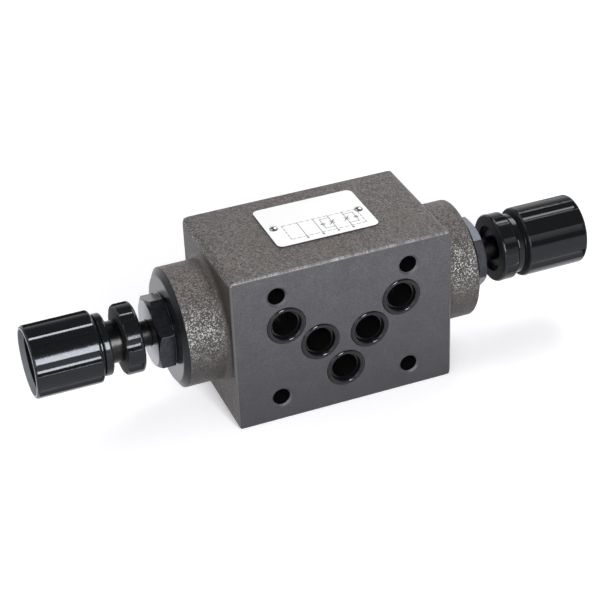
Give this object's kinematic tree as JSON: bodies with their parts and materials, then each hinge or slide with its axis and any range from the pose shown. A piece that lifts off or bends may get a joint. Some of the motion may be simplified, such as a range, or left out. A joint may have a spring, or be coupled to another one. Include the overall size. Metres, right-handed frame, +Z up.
{
  "type": "hydraulic sandwich valve",
  "caption": "Cast-iron stackable hydraulic throttle and check valve, with ground port faces, rubber port seals, and a fluted adjusting knob with a lock ring at each end",
  "frame": {"origin": "Middle of the bottom face of the cast block", "axes": "X along the two cartridge bores, with side a at -X and side b at +X; Y along the stack, with the sealed port face at -Y; Z up"},
  "size_m": [0.2319, 0.0555, 0.0684],
  "materials": {
    "cast_iron": "bare casting, sand textured, with ground port faces and turned boss ends",
    "aluminium": "pale satin sheet",
    "rubber": "smooth black rubber",
    "steel": "turned bright steel",
    "black_steel": "blackened steel with a thin oil film",
    "black_plastic": "glossy black moulded plastic"
  },
  "bodies": {
    "valve": {"valve_body": "cast_iron", "nameplate": "aluminium", "nameplate_rivets": "aluminium", "port_seal_p": "rubber", "port_seal_a": "rubber", "port_seal_b": "rubber", "port_seal_t": "rubber", "port_seal_t1": "rubber", "seat_ring_a": "steel", "poppet_spring_a": "steel", "gland_a": "black_steel", "gland_seal_a": "rubber", "seat_ring_b": "steel", "poppet_spring_b": "steel", "gland_b": "black_steel", "gland_seal_b": "rubber"},
    "poppet_a": {"check_poppet_a": "steel"},
    "screw_slide_a": {"screw_seal_a": "rubber"},
    "knob_a": {"knob_a": "black_plastic", "adjusting_screw_a": "black_steel", "knob_set_screw_a": "steel"},
    "lock_slide_a": {"lock_bush_a": "steel"},
    "lock_ring_a": {"lock_ring_a": "black_plastic"},
    "poppet_b": {"check_poppet_b": "steel"},
    "screw_slide_b": {"screw_seal_b": "rubber"},
    "knob_b": {"knob_b": "black_plastic", "adjusting_screw_b": "black_steel", "knob_set_screw_b": "steel"},
    "lock_slide_b": {"lock_bush_b": "steel"},
    "lock_ring_b": {"lock_ring_b": "black_plastic"}
  },
  "joints": [
    {"name": "check_lift_a", "type": "slide", "parent": "valve", "child": "poppet_a", "axis": [-1, 0, 0], "range_m": [0, 0.0025], "stiffness_N_per_m": 2300, "springref_m": -0.004, "deforming": ["poppet_spring_a"]},
    {"name": "screw_travel_a", "type": "slide", "parent": "valve", "child": "screw_slide_a", "axis": [-1, 0, 0], "range_m": [-0.0049, 0.0021]},
    {"name": "knob_turn_a", "type": "hinge", "parent": "screw_slide_a", "child": "knob_a", "pos_m": [-0.1, 0, 0.0363], "axis": [-1, 0, 0], "range_deg": [-1765, 757]},
    {"name": "lock_travel_a", "type": "slide", "parent": "valve", "child": "lock_slide_a", "axis": [-1, 0, 0], "range_m": [-0.0048, 0]},
    {"name": "lock_ring_turn_a", "type": "hinge", "parent": "lock_slide_a", "child": "lock_ring_a", "pos_m": [-0.079, 0, 0.0363], "axis": [-1, 0, 0], "range_deg": [-1729, 1]},
    {"name": "check_lift_b", "type": "slide", "parent": "valve", "child": "poppet_b", "axis": [1, 0, 0], "range_m": [0, 0.0025], "stiffness_N_per_m": 2300, "springref_m": -0.004, "deforming": ["poppet_spring_b"]},
    {"name": "screw_travel_b", "type": "slide", "parent": "valve", "child": "screw_slide_b", "axis": [1, 0, 0], "range_m": [-0.0001, 0.0069]},
    {"name": "knob_turn_b", "type": "hinge", "parent": "screw_slide_b", "child": "knob_b", "pos_m": [0.1, 0, 0.0363], "axis": [1, 0, 0], "range_deg": [-37, 2485]},
    {"name": "lock_travel_b", "type": "slide", "parent": "valve", "child": "lock_slide_b", "axis": [1, 0, 0], "range_m": [-0.0071, 0]},
    {"name": "lock_ring_turn_b", "type": "hinge", "parent": "lock_slide_b", "child": "lock_ring_b", "pos_m": [0.079, 0, 0.0363], "axis": [1, 0, 0], "range_deg": [-2557, 1]}
  ],
  "couplings": [
    {"joint": "knob_turn_a", "follows": "screw_travel_a", "rad_per_m": 6283.2},
    {"joint": "lock_ring_turn_a", "follows": "lock_travel_a", "rad_per_m": 6283.2},
    {"joint": "knob_turn_b", "follows": "screw_travel_b", "rad_per_m": 6283.2},
    {"joint": "lock_ring_turn_b", "follows": "lock_travel_b", "rad_per_m": 6283.2}
  ]
}
